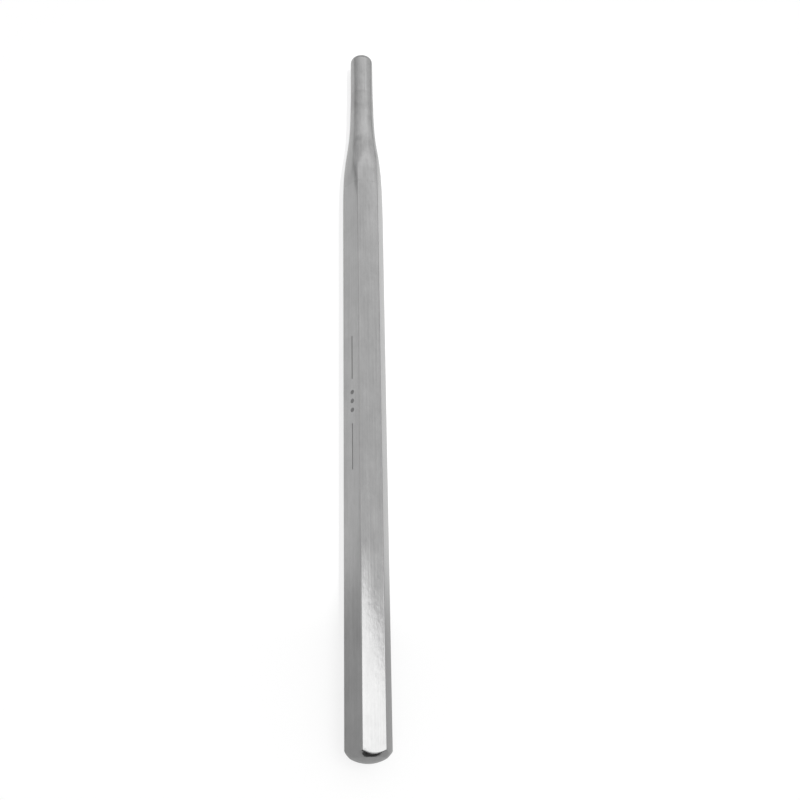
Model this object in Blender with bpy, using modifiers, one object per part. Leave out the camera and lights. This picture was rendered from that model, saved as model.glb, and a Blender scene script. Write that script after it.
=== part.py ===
"""Hollow hexagonal handle of a dental mouth mirror.

Units are metres and +Z is up. The handle lies along Y on one flat of its hexagon, with its
threaded tip towards +Y. The origin is on the surface it lies on, under its middle.

Every piece is modelled upright about its own Z axis, with z = 0 at the handle's back end, and
hangs from one empty that lays the whole handle down along Y.
"""

import math

import bmesh
import bpy
from mathutils import Matrix

MM = 0.001

# Driving dimensions of the handle
LENGTH = 130.0 * MM
ACROSS_CORNERS = 7.5 * MM
EDGE_RADIUS = 0.25 * MM
TUBE_BORE_RADIUS = 2.8 * MM
RIM_ANGLE = math.radians(47)
DOME_RADIUS = 5.5 * MM
FIT_GAP = 0.3 * MM

# Nose: slim neck, sweep out, straight flare, ease into the hexagon. Each station is a distance
# back from the tip and the slope of the radius there; the slope changes evenly between stations.
NECK_RADIUS = 2.13 * MM
NOSE_SLOPES = (
    (8.6 * MM, 0.01),
    (12.5 * MM, 0.016),
    (15.5 * MM, 0.04),
    (18.5 * MM, 0.085),
    (20.5 * MM, 0.133),
    (25.6 * MM, 0.133),
    (30.0 * MM, 0.06),
)
NOSE_SPIGOT_LENGTH = 8.0 * MM

# Threaded socket for a mirror stem, M2.5 x 0.45
SOCKET_HEAD = NOSE_SLOPES[0][0]
SOCKET_RADIUS = 2.1 * MM
TAP_RADIUS = 1.025 * MM
THREAD_MAJOR_RADIUS = 1.25 * MM
THREAD_DEPTH = 6.0 * MM
DRILL_POINT_HALF_ANGLE = math.radians(59)
TIP_ROUND_RADIAL = 0.55 * MM
TIP_ROUND_AXIAL = 0.9 * MM
SOCKET_SPIGOT_RADIUS = 1.3 * MM
SOCKET_SPIGOT_LENGTH = 6.0 * MM

# End plug
PLUG_LENGTH = 6.0 * MM
LEAD_IN = 0.3 * MM

# Fineness of the round stretches
TURN_STEPS = 48
EDGE_SEGMENTS = 4
DOME_STEPS = 8
TIP_ROUND_STEPS = 6
SLOPE_STEPS = 3
SMOOTH_ANGLE = math.radians(25)
MERGE_DISTANCE = 0.001 * MM

# Worked out from the driving dimensions
HEX_CIRCUMRADIUS = ACROSS_CORNERS / 2 + EDGE_RADIUS * (1 / math.cos(math.radians(30)) - 1)
ACROSS_FLATS = 2 * HEX_CIRCUMRADIUS * math.cos(math.radians(30))
CLEAR_OF_HEX = ACROSS_CORNERS / 2 + 1.0 * MM
TRIM_LENGTH = 5.0 * MM
NOSE_SEAM = LENGTH - NOSE_SLOPES[-1][0]
TUBE_END = NOSE_SEAM - FIT_GAP
SPIGOT_RADIUS = TUBE_BORE_RADIUS - FIT_GAP


def clear_scene():
    for obj in list(bpy.data.objects):
        bpy.data.objects.remove(obj, do_unlink=True)


def new_collection(name):
    collection = bpy.data.collections.new(name)
    bpy.context.scene.collection.children.link(collection)
    return collection


def steel(name, grey, roughness):
    """Bare stainless steel of one brightness and one polish."""
    material = bpy.data.materials.new(name)
    material.use_nodes = True
    shader = material.node_tree.nodes["Principled BSDF"]
    shader.inputs["Base Color"].default_value = (grey, grey, grey, 1)
    shader.inputs["Metallic"].default_value = 1.0
    shader.inputs["Roughness"].default_value = roughness
    return material


def arc(centre_r, centre_z, radius_r, radius_z, start, end, steps):
    """Points on a quarter or so of an ellipse, from one angle to another, as (radius, height)."""
    points = []
    for step in range(steps + 1):
        angle = math.radians(start + (end - start) * step / steps)
        r = centre_r + radius_r * math.cos(angle)
        z = centre_z + radius_z * math.sin(angle)
        points.append((r, z))
    return points


def rim_height(radius):
    """Height of the tube's back rim, ground to a cone that meets the plug's dome at the bore."""
    dome_at_bore = DOME_RADIUS - math.sqrt(DOME_RADIUS**2 - TUBE_BORE_RADIUS**2)
    return dome_at_bore + (radius - TUBE_BORE_RADIUS) * math.tan(RIM_ANGLE)


def nose_outline():
    """The turned outline of the nose, from its front face back to the seam with the tube."""
    radius = NECK_RADIUS
    points = [(radius, LENGTH - SOCKET_HEAD - FIT_GAP)]
    for (start, slope), (end, next_slope) in zip(NOSE_SLOPES, NOSE_SLOPES[1:]):
        steps = 1 if slope == next_slope else SLOPE_STEPS
        for step in range(1, steps + 1):
            reach = (end - start) * step / steps
            slope_there = slope + (next_slope - slope) * step / steps
            points.append((radius + reach * (slope + slope_there) / 2, LENGTH - start - reach))
        radius = points[-1][0]
    return points


def turned(name, profile, collection, closed):
    """A solid of revolution about Z from (radius, height) points that run down its outer side."""
    mesh = bpy.data.meshes.new(name)
    shape = bmesh.new()
    corners = [shape.verts.new((r, 0, z)) for r, z in profile]
    for first, second in zip(corners, corners[1:]):
        shape.edges.new((first, second))
    if closed:
        shape.edges.new((corners[-1], corners[0]))
    shape.to_mesh(mesh)
    shape.free()

    obj = bpy.data.objects.new(name, mesh)
    collection.objects.link(obj)
    screw = obj.modifiers.new("turn", "SCREW")
    screw.axis = "Z"
    screw.angle = math.radians(360)
    screw.steps = TURN_STEPS
    screw.render_steps = TURN_STEPS
    screw.use_merge_vertices = True
    screw.merge_threshold = MERGE_DISTANCE
    return obj


def hex_bar(name, bottom, top, collection):
    """Hexagonal bar with rounded edges, one flat facing down once the handle is laid along Y."""
    mesh = bpy.data.meshes.new(name)
    shape = bmesh.new()
    flat_down = Matrix.Rotation(math.radians(30), 4, "Z")
    middle = Matrix.Translation((0, 0, (bottom + top) / 2))
    bmesh.ops.create_cone(shape, cap_ends=True, segments=6, depth=top - bottom, matrix=middle @ flat_down,
                          radius1=HEX_CIRCUMRADIUS, radius2=HEX_CIRCUMRADIUS)
    weight = shape.edges.layers.float.new("bevel_weight_edge")
    for edge in shape.edges:
        runs_along = abs(edge.verts[0].co.z - edge.verts[1].co.z) > EDGE_RADIUS
        edge[weight] = 1.0 if runs_along else 0.0
    shape.to_mesh(mesh)
    shape.free()

    obj = bpy.data.objects.new(name, mesh)
    collection.objects.link(obj)
    bevel = obj.modifiers.new("rounded_edges", "BEVEL")
    bevel.limit_method = "WEIGHT"
    bevel.width = EDGE_RADIUS * math.tan(math.radians(30))
    bevel.segments = EDGE_SEGMENTS
    return obj


def cut_to(bar, envelope):
    """Keep only the part of a hexagonal bar inside a turned envelope."""
    envelope.hide_render = True
    envelope.display_type = "WIRE"
    boolean = bar.modifiers.new("turned_to_shape", "BOOLEAN")
    boolean.operation = "INTERSECT"
    boolean.solver = "EXACT"
    boolean.object = envelope


def finish(obj, material, axis):
    """Settle the modifiers into the mesh, shade the round stretches smooth, hang it on the axis."""
    depsgraph = bpy.context.evaluated_depsgraph_get()
    mesh = bpy.data.meshes.new_from_object(obj.evaluated_get(depsgraph))
    mesh.name = obj.name
    mesh.shade_smooth()
    mesh.set_sharp_from_angle(angle=SMOOTH_ANGLE)
    mesh.materials.clear()
    mesh.materials.append(material)
    obj.modifiers.clear()
    obj.data = mesh
    obj.parent = axis


def make_handle_tube(parts, cutters, axis):
    """Thin hexagonal tube with a round bore, its back rim ground to a cone."""
    profile = [(CLEAR_OF_HEX, TUBE_END), (CLEAR_OF_HEX, rim_height(CLEAR_OF_HEX))]
    profile += [(TUBE_BORE_RADIUS, rim_height(TUBE_BORE_RADIUS)), (TUBE_BORE_RADIUS, TUBE_END)]

    tube = hex_bar("handle_tube", -TRIM_LENGTH, LENGTH, parts)
    cut_to(tube, turned("tube_envelope", profile, cutters, closed=True))
    finish(tube, steel("tube_steel", 0.6, 0.32), axis)


def make_nose_cone(parts, cutters, axis):
    """Solid nose that narrows from the hexagon to a slim neck, with a spigot for the tube."""
    bore = SOCKET_SPIGOT_RADIUS + FIT_GAP
    bore_floor = LENGTH - SOCKET_HEAD - SOCKET_SPIGOT_LENGTH - FIT_GAP
    drill_point = bore_floor - bore / math.tan(DRILL_POINT_HALF_ANGLE)
    spigot_end = NOSE_SEAM - NOSE_SPIGOT_LENGTH
    profile = [(0, drill_point), (bore, bore_floor), (bore, LENGTH - SOCKET_HEAD - FIT_GAP)]
    profile += nose_outline()
    profile.append((SPIGOT_RADIUS, NOSE_SEAM))
    profile += [(SPIGOT_RADIUS, spigot_end + LEAD_IN), (SPIGOT_RADIUS - LEAD_IN, spigot_end), (0, spigot_end)]

    nose = hex_bar("nose_cone", spigot_end - TRIM_LENGTH, LENGTH, parts)
    cut_to(nose, turned("nose_envelope", profile, cutters, closed=False))
    finish(nose, steel("nose_steel", 0.6, 0.3), axis)


def make_threaded_socket(parts, axis):
    """Front of the neck: a rounded tip around the threaded hole, and a spigot for the nose."""
    shoulder = LENGTH - SOCKET_HEAD
    spigot_end = shoulder - SOCKET_SPIGOT_LENGTH
    hole_floor = LENGTH - THREAD_DEPTH
    drill_point = hole_floor - TAP_RADIUS / math.tan(DRILL_POINT_HALF_ANGLE)
    chamfer = THREAD_MAJOR_RADIUS - TAP_RADIUS
    profile = [(0, drill_point), (TAP_RADIUS, hole_floor), (TAP_RADIUS, LENGTH - chamfer)]
    profile.append((THREAD_MAJOR_RADIUS, LENGTH))
    profile += arc(SOCKET_RADIUS - TIP_ROUND_RADIAL, LENGTH - TIP_ROUND_AXIAL,
                   TIP_ROUND_RADIAL, TIP_ROUND_AXIAL, 90, 0, TIP_ROUND_STEPS)
    profile += [(SOCKET_RADIUS, shoulder), (SOCKET_SPIGOT_RADIUS, shoulder)]
    profile += [(SOCKET_SPIGOT_RADIUS, spigot_end + LEAD_IN), (SOCKET_SPIGOT_RADIUS - LEAD_IN, spigot_end)]
    profile.append((0, spigot_end))

    socket = turned("threaded_socket", profile, parts, closed=False)
    finish(socket, steel("socket_steel", 0.62, 0.26), axis)


def make_end_plug(parts, axis):
    """Plug that closes the back of the tube, its outer end ground to a dome."""
    radius = SPIGOT_RADIUS
    profile = [(0, PLUG_LENGTH), (radius - LEAD_IN, PLUG_LENGTH), (radius, PLUG_LENGTH - LEAD_IN)]
    edge = -math.degrees(math.acos(radius / DOME_RADIUS))
    profile += arc(0, DOME_RADIUS, DOME_RADIUS, DOME_RADIUS, edge, -90, DOME_STEPS)

    plug = turned("end_plug", profile, parts, closed=False)
    finish(plug, steel("plug_steel", 0.58, 0.34), axis)


def lay_down():
    """The handle's axis: z along it from the back end, laid along Y on one flat of the hexagon."""
    axis = bpy.data.objects.new("handle_axis", None)
    bpy.context.scene.collection.objects.link(axis)
    axis.location = (0, -LENGTH / 2, ACROSS_FLATS / 2)
    axis.rotation_euler = (math.radians(-90), 0, 0)
    return axis


def main():
    clear_scene()
    parts = new_collection("mouth_mirror_handle")
    cutters = new_collection("cutters")
    axis = lay_down()
    make_handle_tube(parts, cutters, axis)
    make_nose_cone(parts, cutters, axis)
    make_threaded_socket(parts, axis)
    make_end_plug(parts, axis)


main()
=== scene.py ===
"""Looks of the hollow hexagonal mouth mirror handle: fine meshes, steel, light and camera.

The handle's lengths are in millimetres and become metres through MM; the studio's are in metres.
Each piece is a skin of rings along the handle's axis. A ring's points share one set of columns
around the axis, so the rounded hexagon, the turned nose, the dome and the thread are all one
kind of surface.
"""

import math

import bpy
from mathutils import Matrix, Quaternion, Vector


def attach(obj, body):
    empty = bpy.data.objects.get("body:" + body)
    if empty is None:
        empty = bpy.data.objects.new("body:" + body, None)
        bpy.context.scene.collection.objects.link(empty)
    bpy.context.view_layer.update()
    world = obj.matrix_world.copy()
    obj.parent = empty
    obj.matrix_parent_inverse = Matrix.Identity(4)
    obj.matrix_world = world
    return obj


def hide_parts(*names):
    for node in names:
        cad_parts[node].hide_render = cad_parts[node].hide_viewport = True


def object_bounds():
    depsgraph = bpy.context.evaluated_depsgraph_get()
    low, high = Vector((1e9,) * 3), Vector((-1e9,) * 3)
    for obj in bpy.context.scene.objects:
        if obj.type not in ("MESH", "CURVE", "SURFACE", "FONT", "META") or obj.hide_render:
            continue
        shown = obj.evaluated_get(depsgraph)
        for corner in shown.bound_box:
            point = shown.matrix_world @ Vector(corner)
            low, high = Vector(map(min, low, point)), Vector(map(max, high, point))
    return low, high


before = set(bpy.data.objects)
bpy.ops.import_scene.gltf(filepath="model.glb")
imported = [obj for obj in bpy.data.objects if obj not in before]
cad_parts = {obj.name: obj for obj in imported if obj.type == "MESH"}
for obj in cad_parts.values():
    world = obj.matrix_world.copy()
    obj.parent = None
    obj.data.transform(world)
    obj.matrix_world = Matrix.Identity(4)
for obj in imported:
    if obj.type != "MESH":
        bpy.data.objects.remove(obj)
CAD_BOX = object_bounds()

MM = 0.001

# The handle's outer shape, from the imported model's box
LENGTH = (CAD_BOX[1].y - CAD_BOX[0].y) / MM
ACROSS_FLATS = (CAD_BOX[1].z - CAD_BOX[0].z) / MM
BACK_END = CAD_BOX[0].y / MM
FLAT_DISTANCE = ACROSS_FLATS / 2
FLAT_HALF_WIDTH = FLAT_DISTANCE * math.tan(math.radians(30))
EDGE_RADIUS = 0.25
CROWN = 0.03

# Back end: the tube's bore, the plug's dome, and the tube's rim, a slightly crowned cone whose
# soft edge reaches a little inwards and a little along the sides
BORE_RADIUS = 2.8
DOME_RADIUS = 5.5
RIM_ANGLE = math.radians(47)
RIM_CROWN = 0.02
RIM_INWARDS = 0.14
RIM_SIDE = 0.06

# Nose: each station is a distance back from the tip and the slope of the radius there.
# NOSE_BLEND softens the creases where it cuts the hexagon, and over SEAM_BLEND the radius grows
# from the socket's to the neck's.
NOSE_SLOPES = (
    (8.6, 0.01),
    (12.5, 0.016),
    (15.5, 0.04),
    (18.5, 0.085),
    (20.5, 0.133),
    (25.6, 0.133),
    (30.0, 0.06),
    (40.0, 0.06),
)
NECK_RADIUS = 2.13
NOSE_BLEND = 0.4
SEAM_BLEND = 3.0
NOSE_SEAM = 30.0
NOSE_SPIGOT = 8.0
NOSE_BORE_POINT = 0.8

# Threaded socket. A thread's flank rises FLANK_RISE times its depth in a pitch, and CREST_CUT of
# that is cut off for the flat crest.
SOCKET_HEAD = NOSE_SLOPES[0][0]
SOCKET_RADIUS = 2.1
TIP_ROUND_RADIAL = 0.55
TIP_ROUND_AXIAL = 0.9
PITCH = 0.45
THREAD_ROOT = 1.25
THREAD_CREST = 1.01
THREAD_DEPTH = 6.0
THREAD_RUNOUT = 0.6
THREAD_HOLE_POINT = 0.6
FLANK_RISE = 2.6
CREST_CUT = 0.25
SOCKET_SPIGOT_RADIUS = 1.3
SOCKET_SPIGOT = 6.0

# Etched motif on one flat: three dots between two lines. Its middle is measured from the middle
# of the flat and of the handle, and the lines' middles and the dots' end from the motif's own.
MARK_ACROSS = 0.26
MARK_MIDDLE = -8.0
LINE_WIDTH = 0.22
LINE_MIDDLE = 8.0
LINE_LENGTH = 8.0
DOT_DIAMETER = 0.8
DOT_SPACING = 1.6
DOTS_END = 2.4
MARK_SOFTNESS = 0.03
MARK_DEPTH = 0.2
MARK_TONE = 0.5
MARK_ROUGHER = 0.2

# Darker stretch of the nose, from the socket back to this distance from the tip; only its tone is
# lowered, its roughness stays the same
DARKER_BAND_END = 12.2
DARKER_BAND_FADE = 1.2
DARKER_BAND_TONE = 0.89

# Steel's surface: each noise's features per metre, levels of detail and squeeze along X, Y and Z;
# the range that a noise mostly stays in; and how much each noise shows
BRUSHED_SCALE = 3200
BRUSHED_DETAIL = 4
ALONG_GRAIN = (1, 0.02, 1)
ROUND_GRAIN = (0.15, 1, 0.15)
GRANULAR_SCALE = 1900
GRANULAR_DETAIL = 3
GRANULAR_SQUEEZE = (1, 0.45, 1)
CLOUD_SCALE = 340
CLOUD_DETAIL = 3
CLOUD_SQUEEZE = (1, 0.5, 1)
POLISHING_SCALE = 420
POLISHING_DETAIL = 1
POLISHING_SQUEEZE = (1, 0.7, 1)
NOISE_ROUGHNESS = 0.6
NOISE_RANGE = (0.3, 0.7)
BRUSHED_TONE = 0.022
GRANULAR_TONE = 0.012
BRUSHED_SHARE = 0.25
ROUGHNESS_CHANGE = 0.03

# Fits between the pieces, and the fine break on their edges
FIT = 0.004
BREAK = 0.008
LEAD_IN = 0.3
SPIGOT_CLEARANCE = 0.3
PLUG_LENGTH = 6.0

# Fineness of the skins: columns between the ends of a flat and on a rounded edge with its ends,
# rings along each stretch, and how far from a stretch's ends they start and stop
FLAT_COLUMNS = 9
EDGE_COLUMNS = 9
FLAT_INSET = 0.05
RIM_SHARES = (0.35, 0.7, 1)
RIM_EDGE_RINGS = 9
SIDE_START = 2.6
SIDE_RINGS = 40
SEAM_REACH = 2.8
SEAM_GAP = 0.2
SEAM_RINGS = 15
BORE_INSET = 5
BORE_RINGS = 10
NOSE_RINGS = 130
THREAD_RINGS = 170
TIP_ROUND_RINGS = 13
NECK_START = 1.2
NECK_RINGS = 12
DOME_MIDDLE = 0.2
DOME_RINGS = 16
SMOOTH_ANGLE = math.radians(40)


# ---------------------------------------------------------------- shape


def spread(low, high, count):
    """Evenly spaced numbers from low to high, both included."""
    return [low + (high - low) * i / (count - 1) for i in range(count)]


def hexagon_columns():
    """(angle, radius) around the rounded hexagon: six slightly crowned flats and six round edges."""
    flat_end = FLAT_HALF_WIDTH - EDGE_RADIUS * math.tan(math.radians(30))
    corner_distance = FLAT_HALF_WIDTH / math.sin(math.radians(30))
    edge_centre = corner_distance - EDGE_RADIUS / math.cos(math.radians(30))
    offsets = spread(FLAT_INSET - flat_end, flat_end - FLAT_INSET, FLAT_COLUMNS)
    offsets = [-flat_end, *offsets, flat_end]
    columns = []
    for side in range(6):
        facing = math.radians(60 * side)
        for offset in offsets:
            height = FLAT_DISTANCE - CROWN * (offset / flat_end) ** 2
            columns.append((facing + math.atan2(offset, height), math.hypot(offset, height)))
        corner = facing + math.radians(30)
        for turn in spread(-30, 30, EDGE_COLUMNS)[1:-1]:
            out = edge_centre + (EDGE_RADIUS - CROWN) * math.cos(math.radians(turn))
            along = EDGE_RADIUS * math.sin(math.radians(turn))
            columns.append((corner + math.atan2(along, out), math.hypot(along, out)))
    return columns


COLUMNS = hexagon_columns()


def soft_min(a, b, softness):
    """The smaller of two lengths, with the crease where they meet rounded over that softness."""
    overlap = max(softness - abs(a - b), 0) / softness
    return min(a, b) - overlap * overlap * softness / 4


def nose_radius(from_tip):
    """Radius of the turned nose: the sum of its slopes from the neck to there."""
    radius = NECK_RADIUS
    for (start, slope), (end, next_slope) in zip(NOSE_SLOPES, NOSE_SLOPES[1:]):
        reach = min(max(from_tip - start, 0), end - start)
        slope_there = slope + (next_slope - slope) * reach / (end - start)
        radius += reach * (slope + slope_there) / 2
    return radius


def ring(radius, from_back):
    """A round ring: the same radius and place along the handle for every column."""
    return [(radius, from_back)] * len(COLUMNS)


def skin_ring(from_back):
    """A ring on the handle's outside: the hexagon, cut by the turned nose."""
    from_tip = LENGTH - from_back
    past_seam = min(max(from_tip - SOCKET_HEAD, 0) / SEAM_BLEND, 1)
    still_socket = 1 - past_seam**2 * (3 - 2 * past_seam)
    nose = nose_radius(from_tip) - (NECK_RADIUS - SOCKET_RADIUS) * still_socket
    return [(soft_min(hexagon, nose, NOSE_BLEND), from_back) for _, hexagon in COLUMNS]


def dome_height(radius):
    """Height of the plug's dome above the very end of the handle."""
    return DOME_RADIUS - math.sqrt(DOME_RADIUS**2 - radius**2)


def rim_height(radius):
    """Height of the tube's back rim: a slightly crowned cone that meets the dome at the bore."""
    share = (radius - BORE_RADIUS) / (FLAT_DISTANCE - BORE_RADIUS)
    crown = RIM_CROWN * 4 * share * max(1 - share, 0)
    return dome_height(BORE_RADIUS) + (radius - BORE_RADIUS) * math.tan(RIM_ANGLE) - crown


def rim_rings():
    """The ground back rim of the tube: a cone from the bore out, then a soft edge onto the sides."""
    start = BORE_RADIUS + FIT + BREAK
    rings = [ring(start - BREAK, rim_height(start) + BREAK), ring(start, rim_height(start))]
    for share in RIM_SHARES:
        rings.append([])
        for _, hexagon in COLUMNS:
            radius = start + (hexagon - RIM_INWARDS - start) * share
            rings[-1].append((radius, rim_height(radius)))
    for share in spread(0, 1, RIM_EDGE_RINGS)[1:]:
        rings.append([])
        for _, hexagon in COLUMNS:
            inner = (hexagon - RIM_INWARDS, rim_height(hexagon - RIM_INWARDS))
            corner = (hexagon, rim_height(hexagon))
            outer = (hexagon, rim_height(hexagon) + RIM_SIDE)
            weights = ((1 - share) ** 2, 2 * share * (1 - share), share**2)
            radius = sum(w * p[0] for w, p in zip(weights, (inner, corner, outer)))
            height = sum(w * p[1] for w, p in zip(weights, (inner, corner, outer)))
            rings[-1].append((radius, height))
    return rings


def thread_ring(from_tip):
    """A ring of the M2.5 x 0.45 internal thread, with its chamfered mouth and its run-out."""
    mouth = THREAD_ROOT - from_tip
    strength = min(max((THREAD_DEPTH - from_tip) / THREAD_RUNOUT, 0), 1)
    points = []
    for angle, _ in COLUMNS:
        phase = (from_tip / PITCH + angle / math.tau) % 1
        tooth = min(max(abs(phase - 0.5) * FLANK_RISE - CREST_CUT, 0), 1)
        radius = THREAD_CREST + (THREAD_ROOT - THREAD_CREST) * tooth * strength
        points.append((max(radius, mouth), LENGTH - from_tip))
    return points


def place(angle, radius, from_back):
    """A point of the handle in metres, with angle 0 straight up and growing towards +X."""
    x = radius * math.sin(angle)
    z = FLAT_DISTANCE + radius * math.cos(angle)
    return Vector((x, BACK_END + from_back, z)) * MM


def skin(name, rings, start_pole=None, end_pole=None):
    """A closed mesh through the rings. Poles are places on the axis; without them it is a loop."""
    count = len(COLUMNS)
    points = [place(angle, *spot) for row in rings for (angle, _), spot in zip(COLUMNS, row)]
    faces = []
    for low in range(len(rings) - (0 if start_pole is None else 1)):
        high = (low + 1) % len(rings)
        for i in range(count):
            j = (i + 1) % count
            faces.append((low * count + i, high * count + i, high * count + j, low * count + j))
    if start_pole is not None:
        points.append(place(0, 0, start_pole))
        points.append(place(0, 0, end_pole))
        last = (len(rings) - 1) * count
        for i in range(count):
            j = (i + 1) % count
            faces.append((len(points) - 2, i, j))
            faces.append((len(points) - 1, last + j, last + i))

    mesh = bpy.data.meshes.new(name)
    mesh.from_pydata(points, [], faces)
    mesh.validate()
    mesh.shade_smooth()
    mesh.set_sharp_from_angle(angle=SMOOTH_ANGLE)
    piece = bpy.data.objects.new(name, mesh)
    bpy.context.scene.collection.objects.link(piece)
    return piece


def make_tube():
    """Hexagonal tube: ground rim, sides, front end and round bore, as one closed loop of rings."""
    end = LENGTH - NOSE_SEAM
    rings = rim_rings()
    fine_start = end - SEAM_REACH
    side_places = spread(SIDE_START, fine_start - SEAM_GAP, SIDE_RINGS)
    rings += [skin_ring(from_back) for from_back in side_places]
    rings += [skin_ring(from_back) for from_back in spread(fine_start, end - BREAK, SEAM_RINGS)]
    rings.append([(radius - BREAK / 2, end - FIT) for radius, _ in skin_ring(end)])
    rings += [ring(BORE_RADIUS + BREAK, end - FIT), ring(BORE_RADIUS + FIT, end - BREAK)]
    bore_places = spread(end - BORE_INSET, BORE_INSET, BORE_RINGS)
    rings += [ring(BORE_RADIUS + FIT, from_back) for from_back in bore_places]
    return skin("hexagonal_grip_tube", rings)


def make_nose():
    """Nose: bore for the socket's spigot, slim neck, flare with scalloped flats, tube spigot."""
    bore = SOCKET_SPIGOT_RADIUS + FIT
    front = LENGTH - SOCKET_HEAD - FIT
    floor = LENGTH - SOCKET_HEAD - SOCKET_SPIGOT - SPIGOT_CLEARANCE
    seam = LENGTH - NOSE_SEAM
    rings = [ring(bore, floor), ring(bore, front - BREAK), ring(bore + BREAK, front)]
    rings.append([(radius - BREAK, front) for radius, _ in skin_ring(front)])
    rings += [skin_ring(from_back) for from_back in spread(front - BREAK, seam + BREAK, NOSE_RINGS)]
    rings.append([(radius - BREAK / 2, seam) for radius, _ in skin_ring(seam)])
    spigot = BORE_RADIUS - FIT
    rings += [ring(spigot, seam), ring(spigot, seam - NOSE_SPIGOT + LEAD_IN)]
    rings.append(ring(spigot - LEAD_IN, seam - NOSE_SPIGOT))
    return skin("flared_nose", rings, start_pole=floor - NOSE_BORE_POINT, end_pole=seam - NOSE_SPIGOT)


def make_socket():
    """Threaded tip: helical thread, chamfered mouth, flat ring, rounded edge, neck and spigot."""
    shoulder = LENGTH - SOCKET_HEAD
    rings = [thread_ring(from_tip) for from_tip in spread(THREAD_DEPTH, 0, THREAD_RINGS)]
    rings.append(ring(SOCKET_RADIUS - TIP_ROUND_RADIAL, LENGTH))
    for turn in spread(90, 0, TIP_ROUND_RINGS):
        out = math.cos(math.radians(turn)) * TIP_ROUND_RADIAL
        along = math.sin(math.radians(turn)) * TIP_ROUND_AXIAL
        rings.append(ring(SOCKET_RADIUS - TIP_ROUND_RADIAL + out, LENGTH - TIP_ROUND_AXIAL + along))
    neck_places = spread(LENGTH - NECK_START, shoulder + BREAK, NECK_RINGS)
    rings += [ring(SOCKET_RADIUS, from_back) for from_back in neck_places]
    rings += [ring(SOCKET_RADIUS - BREAK, shoulder), ring(SOCKET_SPIGOT_RADIUS, shoulder)]
    rings.append(ring(SOCKET_SPIGOT_RADIUS, shoulder - SOCKET_SPIGOT + LEAD_IN))
    rings.append(ring(SOCKET_SPIGOT_RADIUS - LEAD_IN, shoulder - SOCKET_SPIGOT))
    hole_floor = LENGTH - THREAD_DEPTH - THREAD_HOLE_POINT
    return skin("threaded_tip", rings, start_pole=hole_floor, end_pole=shoulder - SOCKET_SPIGOT)


def make_plug():
    """End plug: inner face, side in the bore, and the polished dome."""
    radius = BORE_RADIUS - FIT
    rings = [ring(radius - LEAD_IN, PLUG_LENGTH), ring(radius, PLUG_LENGTH - LEAD_IN)]
    rings.append(ring(radius, dome_height(radius) + BREAK))
    rings += [ring(r, dome_height(r)) for r in spread(radius - BREAK, DOME_MIDDLE, DOME_RINGS)]
    return skin("domed_end_plug", rings, start_pole=PLUG_LENGTH, end_pole=0)


# ---------------------------------------------------------------- materials


class Nodes:
    """A node tree with short ways to add nodes and links."""

    def __init__(self, tree):
        self.tree = tree

    def add(self, kind, values=None, **settings):
        node = self.tree.nodes.new(kind)
        for name, value in settings.items():
            setattr(node, name, value)
        for name, value in (values or {}).items():
            if isinstance(value, bpy.types.NodeSocket):
                self.tree.links.new(value, node.inputs[name])
            else:
                node.inputs[name].default_value = value
        return node

    def math(self, operation, a, b=0.0):
        return self.add("ShaderNodeMath", {0: a, 1: b}, operation=operation).outputs[0]

    def stretch(self, value, low, high, to_low, to_high):
        values = {"Value": value, "From Min": low, "From Max": high, "To Min": to_low, "To Max": to_high}
        return self.add("ShaderNodeMapRange", values).outputs["Result"]

    def swing(self, noise, middle, change):
        """Noise turned into a value that swings by the change either side of the middle."""
        return self.stretch(noise, *NOISE_RANGE, middle - change, middle + change)

    def noise(self, point, scale, detail, squeeze):
        """Noise with features of about 1/scale metres, drawn out by squeeze along each axis."""
        mapped = self.add("ShaderNodeMapping", {"Vector": point, "Scale": squeeze}).outputs[0]
        values = {"Vector": mapped, "Scale": scale, "Detail": detail, "Roughness": NOISE_ROUGHNESS}
        return self.add("ShaderNodeTexNoise", values).outputs["Fac"]


def etched_mark(nodes, point):
    """1 on the etched motif of one flat: a thin line, three dots and a thin line, else 0."""
    values = {0: point, 1: (0, 0, FLAT_DISTANCE * MM)}
    from_axis = nodes.add("ShaderNodeVectorMath", values, operation="SUBTRACT").outputs[0]

    def along(direction):
        values = {0: from_axis, 1: direction}
        reach = nodes.add("ShaderNodeVectorMath", values, operation="DOT_PRODUCT").outputs["Value"]
        return nodes.math("MULTIPLY", reach, 1 / MM)

    def distance(value, middle):
        return nodes.math("ABSOLUTE", nodes.math("SUBTRACT", value, middle))

    facing = math.radians(60)
    outwards = along((-math.sin(facing), 0, math.cos(facing)))
    across = distance(along((math.cos(facing), 0, math.sin(facing))), MARK_ACROSS)
    lengthwise = distance(along((0, 1, 0)), MARK_MIDDLE)

    beside_line = nodes.math("SUBTRACT", across, LINE_WIDTH / 2)
    beyond_line = nodes.math("SUBTRACT", distance(lengthwise, LINE_MIDDLE), LINE_LENGTH / 2)
    line = nodes.math("MAXIMUM", beside_line, beyond_line)
    from_dot = nodes.math("PINGPONG", lengthwise, DOT_SPACING / 2)
    squares = nodes.math("ADD", nodes.math("POWER", from_dot, 2.0), nodes.math("POWER", across, 2.0))
    dot = nodes.math("SUBTRACT", nodes.math("SQRT", squares), DOT_DIAMETER / 2)
    dots = nodes.math("MAXIMUM", dot, nodes.math("SUBTRACT", lengthwise, DOTS_END))

    beside_mark = nodes.math("MINIMUM", line, dots)
    shape = nodes.stretch(beside_mark, MARK_SOFTNESS, -MARK_SOFTNESS, 0.0, 1.0)
    on_flat = nodes.math("GREATER_THAN", outwards, FLAT_DISTANCE - MARK_DEPTH)
    return nodes.math("MULTIPLY", shape, on_flat)


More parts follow.
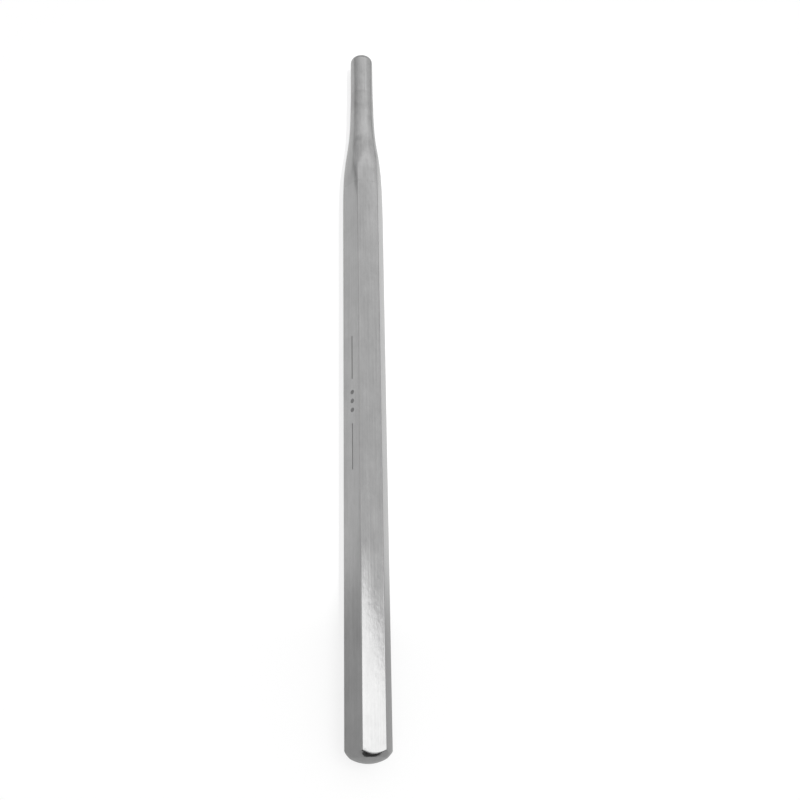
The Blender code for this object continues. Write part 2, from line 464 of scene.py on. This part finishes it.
def darker_band(nodes, point):
    """1 on the stretch of the nose next to the socket, whose tone is darkened, else 0."""
    along = nodes.add("ShaderNodeSeparateXYZ", {0: point}).outputs["Y"]
    from_tip = nodes.math("SUBTRACT", BACK_END + LENGTH, nodes.math("MULTIPLY", along, 1 / MM))
    return nodes.stretch(from_tip, DARKER_BAND_END, DARKER_BAND_END + DARKER_BAND_FADE, 1.0, 0.0)


def steel(name, tone, roughness, grain, waves, clouds, lengthwise=True, marked=False, banded=False):
    """Satin stainless steel: brushed grain, a fine granular surface and faint handling marks.

    grain and waves are depths in millimetres: of the fine surface, and of the unevenness of hand
    polishing. clouds is how much soft patches a few millimetres across change the tone.
    lengthwise draws the grain out along the handle; without it the grain runs round it. marked
    adds the etched motif, and banded the darker stretch next to the socket.
    """
    material = bpy.data.materials.new(name)
    material.use_nodes = True
    nodes = Nodes(material.node_tree)
    shader = material.node_tree.nodes["Principled BSDF"]
    point = nodes.add("ShaderNodeTexCoord").outputs["Object"]

    drawn_out = ALONG_GRAIN if lengthwise else ROUND_GRAIN
    brushed = nodes.noise(point, BRUSHED_SCALE, BRUSHED_DETAIL, drawn_out)
    granular = nodes.noise(point, GRANULAR_SCALE, GRANULAR_DETAIL, GRANULAR_SQUEEZE)
    cloudy = nodes.noise(point, CLOUD_SCALE, CLOUD_DETAIL, CLOUD_SQUEEZE)
    polishing = nodes.noise(point, POLISHING_SCALE, POLISHING_DETAIL, POLISHING_SQUEEZE)

    shade = nodes.math("ADD", nodes.swing(brushed, 0, BRUSHED_TONE), nodes.swing(cloudy, 0, clouds))
    shade = nodes.math("ADD", shade, nodes.swing(granular, 0, GRANULAR_TONE))
    value = nodes.math("ADD", shade, tone)
    streaks = nodes.swing(brushed, 0, ROUGHNESS_CHANGE)
    rough = nodes.math("ADD", streaks, nodes.swing(cloudy, roughness, ROUGHNESS_CHANGE))
    if marked:
        mark = etched_mark(nodes, point)
        value = nodes.math("MULTIPLY", value, nodes.stretch(mark, 0.0, 1.0, 1.0, MARK_TONE))
        rough = nodes.math("ADD", rough, nodes.stretch(mark, 0.0, 1.0, 0.0, MARK_ROUGHER))
    if banded:
        # Darker tone on the stretch next to the socket; the roughness is left as it is
        band = darker_band(nodes, point)
        value = nodes.math("MULTIPLY", value, nodes.stretch(band, 0.0, 1.0, 1.0, DARKER_BAND_TONE))
    colour = nodes.add("ShaderNodeCombineColor", {"Red": value, "Green": value, "Blue": value})
    nodes.tree.links.new(colour.outputs[0], shader.inputs["Base Color"])
    nodes.tree.links.new(rough, shader.inputs["Roughness"])

    fine = nodes.math("MULTIPLY", granular, 1 - BRUSHED_SHARE)
    fine = nodes.math("ADD", fine, nodes.math("MULTIPLY", brushed, BRUSHED_SHARE))
    height = nodes.math("MULTIPLY", fine, grain)
    height = nodes.math("ADD", height, nodes.math("MULTIPLY", polishing, waves))
    bump = nodes.add("ShaderNodeBump", {"Height": height, "Strength": 1.0, "Distance": MM})
    nodes.tree.links.new(bump.outputs[0], shader.inputs["Normal"])
    shader.inputs["Metallic"].default_value = 1.0
    return material


def tube_steel():
    """Finely ground and even, with the etched motif."""
    return steel("tube_steel", 0.368, 0.157, grain=0.016, waves=0.005, clouds=0.022, marked=True)


def nose_steel():
    """Polished by hand, so a little uneven, and darker in tone next to the socket."""
    return steel("nose_steel", 0.368, 0.2, grain=0.022, waves=0.06, clouds=0.032, banded=True)


def socket_steel():
    """Turned, and polished by hand like the nose."""
    return steel("socket_steel", 0.365, 0.22, grain=0.014, waves=0.05, clouds=0.032)


def plug_steel():
    """Ground and polished dome, a little brighter, with its grain round the axis."""
    return steel("plug_steel", 0.4, 0.22, grain=0.02, waves=0.04, clouds=0.02, lengthwise=False)


# ---------------------------------------------------------------- studio

# The floor's tone as the steel reflects it, and its tone and glow as the camera sees it
FLOOR_SIZE = 6
FLOOR_REFLECTED = 0.64
FLOOR_SEEN = 0.25
FLOOR_GLOW = 0.76
BACKDROP = 0.95

# The tent: brightness at the floor's height, the height where it is full, and a bright ring round
# +Y. The ring's numbers are the Y of a direction: its middle, half its width full and with its
# soft edge, its brightness, and where the tent beyond it is dimmer.
TENT_LOW = 0.85
TENT_FULL_HEIGHT = 0.6
RING_MIDDLE = 0.7
RING_HALF = 0.03
RING_OUTER_HALF = 0.08
RING_BRIGHTNESS = 1.5
BEYOND_START = 0.73
BEYOND_FULL = 0.79
BEYOND_BRIGHTNESS = 0.82

# Lights and camera
PANEL_PLACE = (0.088, -0.043, 0.3)
PANEL_SIZE = (0.19, 0.1)
PANEL_TURN = math.radians(-30)
PANEL_POWER = 0.088
FLOOR_LIGHT_PLACE = (0.0, 0.0215, 0.6)
FLOOR_LIGHT_CONE = math.radians(12.93)
FLOOR_LIGHT_BLEND = 0.39
FLOOR_LIGHT_RADIUS = 0.005
FLOOR_LIGHT_POWER = 8.3
CAMERA_PLACE = (-0.04484, -0.07636, 0.161707)
CAMERA_LOOKS_AT = (0.006208, -0.006140, 0.003281)
CAMERA_ROLL = math.radians(38.257)
CAMERA_LENS = 47.655


def make_floor():
    """Plain pale floor, which the camera sees paler and more even than the steel reflects it."""
    bpy.ops.mesh.primitive_plane_add(size=FLOOR_SIZE)
    floor = bpy.context.object
    floor.name = "floor"
    material = bpy.data.materials.new("floor_white")
    material.use_nodes = True
    shader = material.node_tree.nodes["Principled BSDF"]
    nodes = Nodes(material.node_tree)
    seen = nodes.add("ShaderNodeLightPath").outputs["Is Camera Ray"]
    tone = nodes.stretch(seen, 0.0, 1.0, FLOOR_REFLECTED, FLOOR_SEEN)
    colour = nodes.add("ShaderNodeCombineColor", {"Red": tone, "Green": tone, "Blue": tone})
    nodes.tree.links.new(colour.outputs[0], shader.inputs["Base Color"])
    glow = nodes.stretch(seen, 0.0, 1.0, 0.0, FLOOR_GLOW)
    nodes.tree.links.new(glow, shader.inputs["Emission Strength"])
    shader.inputs["Emission Color"].default_value = (1, 1, 1, 1)
    shader.inputs["Roughness"].default_value = 0.9
    shader.inputs["Specular IOR Level"].default_value = 0.0
    floor.data.materials.append(material)


def make_world():
    """Light tent with a dark room at -Y, a bright ring round +Y and patches beside and before it.

    The camera sees an even pale backdrop instead.
    """
    world = bpy.data.worlds.new("studio")
    bpy.context.scene.world = world
    world.use_nodes = True
    nodes = Nodes(world.node_tree)
    background = world.node_tree.nodes["Background"]
    towards = nodes.add("ShaderNodeTexCoord").outputs["Generated"]
    parts = nodes.add("ShaderNodeSeparateXYZ", {0: towards}).outputs

    def patch(centre, inner, outer, change, squash=1.0):
        """1 + change within the inner distance of a direction, and 1 beyond the outer distance.

        squash above 1 makes the patch wider than it is high.
        """
        shape = (1, 1, squash)
        middle = Vector(a * b for a, b in zip(Vector(centre).normalized(), shape))
        squashed = nodes.add("ShaderNodeVectorMath", {0: towards, 1: shape}, operation="MULTIPLY")
        values = {0: squashed.outputs[0], 1: middle}
        apart = nodes.add("ShaderNodeVectorMath", values, operation="DISTANCE").outputs["Value"]
        return nodes.stretch(apart, inner, outer, 1.0 + change, 1.0)

    from_ring = nodes.math("ABSOLUTE", nodes.math("SUBTRACT", parts["Y"], RING_MIDDLE))
    changes = {
        "dark room": patch((0.08, -1, 0.05), 0.7, 1.0, -0.96, squash=3.2),
        "upper left": patch((-0.74, -0.06, 0.67), 0.28, 0.4, -0.55),
        "low left front": patch((-0.75, 0.64, 0.1), 0.2, 0.5, -0.35),
        "high left front": patch((-0.45, 0.65, 0.6), 0.05, 0.4, -0.22),
        "right front": patch((0.72, 0.6, 0.3), 0.15, 0.45, -0.18),
        "top front": patch((0.33, 0.56, 0.76), 0.0, 0.16, 0.25),
        "ring": nodes.stretch(from_ring, RING_HALF, RING_OUTER_HALF, RING_BRIGHTNESS, 1.0),
        "beyond": nodes.stretch(parts["Y"], BEYOND_START, BEYOND_FULL, 1.0, BEYOND_BRIGHTNESS),
    }
    tent = nodes.stretch(parts["Z"], 0.0, TENT_FULL_HEIGHT, TENT_LOW, 1.0)
    for change in changes.values():
        tent = nodes.math("MULTIPLY", tent, change)
    seen = nodes.add("ShaderNodeLightPath").outputs["Is Camera Ray"]
    shown = nodes.add("ShaderNodeMix", {"Factor": seen, "A": tent, "B": BACKDROP}).outputs["Result"]
    nodes.tree.links.new(shown, background.inputs["Strength"])
    background.inputs["Color"].default_value = (1, 1, 1, 1)


def make_overhead_panel():
    """A soft rectangular panel high up at the right of the back end, facing down."""
    data = bpy.data.lights.new("overhead_panel", "AREA")
    data.shape = "RECTANGLE"
    data.size, data.size_y = PANEL_SIZE
    data.energy = PANEL_POWER
    panel = bpy.data.objects.new("overhead_panel", data)
    panel.location = PANEL_PLACE
    panel.rotation_euler = (0, 0, PANEL_TURN)
    panel.visible_camera = False
    bpy.context.scene.collection.objects.link(panel)


def make_floor_light():
    """A round pool of light on the floor round the handle, from a lamp that leaves no glint."""
    data = bpy.data.lights.new("floor_light", "SPOT")
    data.energy = FLOOR_LIGHT_POWER
    data.spot_size = FLOOR_LIGHT_CONE
    data.spot_blend = FLOOR_LIGHT_BLEND
    data.shadow_soft_size = FLOOR_LIGHT_RADIUS
    lamp = bpy.data.objects.new("floor_light", data)
    lamp.location = FLOOR_LIGHT_PLACE
    lamp.visible_glossy = False
    bpy.context.scene.collection.objects.link(lamp)


def make_camera():
    """Camera close above the handle's back end, looking down along it towards the tip."""
    data = bpy.data.cameras.new("camera")
    data.lens = CAMERA_LENS
    data.sensor_width = 36
    data.clip_start = 0.01
    camera = bpy.data.objects.new("camera", data)
    bpy.context.scene.collection.objects.link(camera)
    level = (Vector(CAMERA_LOOKS_AT) - Vector(CAMERA_PLACE)).to_track_quat("-Z", "Y")
    camera.rotation_mode = "QUATERNION"
    camera.rotation_quaternion = level @ Quaternion((0, 0, 1), CAMERA_ROLL)
    camera.location = CAMERA_PLACE
    bpy.context.scene.camera = camera


def dress(piece, node, material):
    """Give a piece its steel, let it stand for its CAD node and ride with the handle."""
    piece.data.materials.append(material)
    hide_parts(node)
    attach(piece, "root")


def main():
    bpy.context.scene.view_settings.view_transform = "Standard"
    dress(make_tube(), "handle_tube", tube_steel())
    dress(make_nose(), "nose_cone", nose_steel())
    dress(make_socket(), "threaded_socket", socket_steel())
    dress(make_plug(), "end_plug", plug_steel())
    make_floor()
    make_world()
    make_overhead_panel()
    make_floor_light()
    make_camera()


main()
